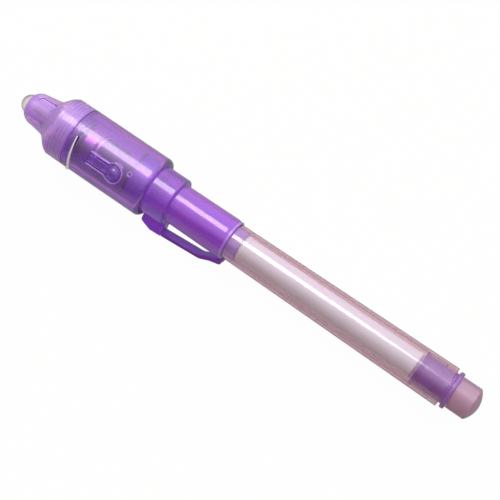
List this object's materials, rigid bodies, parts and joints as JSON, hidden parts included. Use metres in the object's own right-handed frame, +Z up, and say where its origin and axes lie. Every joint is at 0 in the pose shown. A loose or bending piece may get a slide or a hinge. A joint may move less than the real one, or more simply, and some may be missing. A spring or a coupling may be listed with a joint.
{
  "type": "invisible ink pen with ultraviolet lamp",
  "caption": "Capped fibre-tip pen for invisible ink, with an ultraviolet lamp in its cap, a push button on the lamp housing, a pocket clip and a see-through barrel.",
  "frame": {"origin": "on the table the pen lies on, under the middle of its outline seen from above", "axes": "+X along the pen's axis from the lamp to the tail, +Z up from the table, -Y on the side of the button and the clip"},
  "size_m": [0.1312, 0.0162, 0.0156],
  "materials": {
    "barrel_plastic": "clear, tinted pale mauve",
    "section_plastic": "translucent pale lilac",
    "nib_fibre": "pressed fibre",
    "reservoir_fibre": "bonded fibre",
    "wrap_film": "thin film",
    "sleeve_plastic": "clear, tinted deep violet",
    "housing_plastic": "clear, tinted lilac",
    "led_epoxy": "water clear",
    "tinned_lead": "tinned",
    "holder_plastic": "moulded",
    "cell_steel": "bright nickel-plated can",
    "contact_steel": "spring strip",
    "tab_film": "white film"
  },
  "bodies": {
    "pen": {"barrel": "barrel_plastic", "ink_reservoir": "reservoir_fibre", "reservoir_wrap": "wrap_film", "nib": "nib_fibre", "nib_section": "section_plastic", "tail_plug": "sleeve_plastic", "tail_post": "barrel_plastic"},
    "cap": {"light_housing": "housing_plastic", "cap_sleeve": "sleeve_plastic", "button_cell_1": "cell_steel", "button_cell_2": "cell_steel", "button_cell_3": "cell_steel", "battery_cradle": "holder_plastic", "switch_contact": "contact_steel"},
    "button": {"push_button": "housing_plastic"},
    "leaf": {"switch_leaf": "contact_steel"},
    "clip": {"pocket_clip": "sleeve_plastic"},
    "tab": {"pull_tab": "tab_film"},
    "lamp": {"led_lens": "led_epoxy", "led_anode_lead": "tinned_lead", "led_cathode_lead": "tinned_lead", "led_holder": "holder_plastic"},
    "nose": {"nose_cone": "housing_plastic"}
  },
  "joints": [
    {"name": "cap_pull", "type": "slide", "parent": "pen", "child": "cap", "axis": [-1, 0, 0], "range_m": [0, 0.03]},
    {"name": "button_press", "type": "hinge", "parent": "cap", "child": "button", "pos_m": [-0.04138, -0.00385, 0.01348], "axis": [0, 0.809, 0.5878], "range_deg": [0, 4.75], "stiffness_Nm_per_rad": 0.12},
    {"name": "leaf_flex", "type": "hinge", "parent": "cap", "child": "leaf", "pos_m": [-0.03132, -0.00302, 0.01233], "axis": [0, -0.809, -0.5878], "range_deg": [0, 12.3], "stiffness_Nm_per_rad": 0.005},
    {"name": "clip_flex", "type": "hinge", "parent": "cap", "child": "clip", "pos_m": [-0.01892, -0.0058, 0.00157], "axis": [0, 0.7161, -0.698], "range_deg": [0, 6], "stiffness_Nm_per_rad": 0.5},
    {"name": "tab_pull", "type": "slide", "parent": "cap", "child": "tab", "axis": [0, -0.8192, 0.5736], "range_m": [0, 0.0095]},
    {"name": "lamp_slide", "type": "slide", "parent": "cap", "child": "lamp", "axis": [-1, 0, 0], "range_m": [0, 0.0028]},
    {"name": "nose_turn", "type": "hinge", "parent": "lamp", "child": "nose", "pos_m": [-0.04797, 0.00028, 0.0078], "axis": [-1, 0, 0], "range_deg": [0, 1260]}
  ],
  "couplings": [
    {"joint": "leaf_flex", "follows": "button_press", "ratio": 2.5893},
    {"joint": "nose_turn", "follows": "lamp_slide", "rad_per_m": 7853.9}
  ]
}
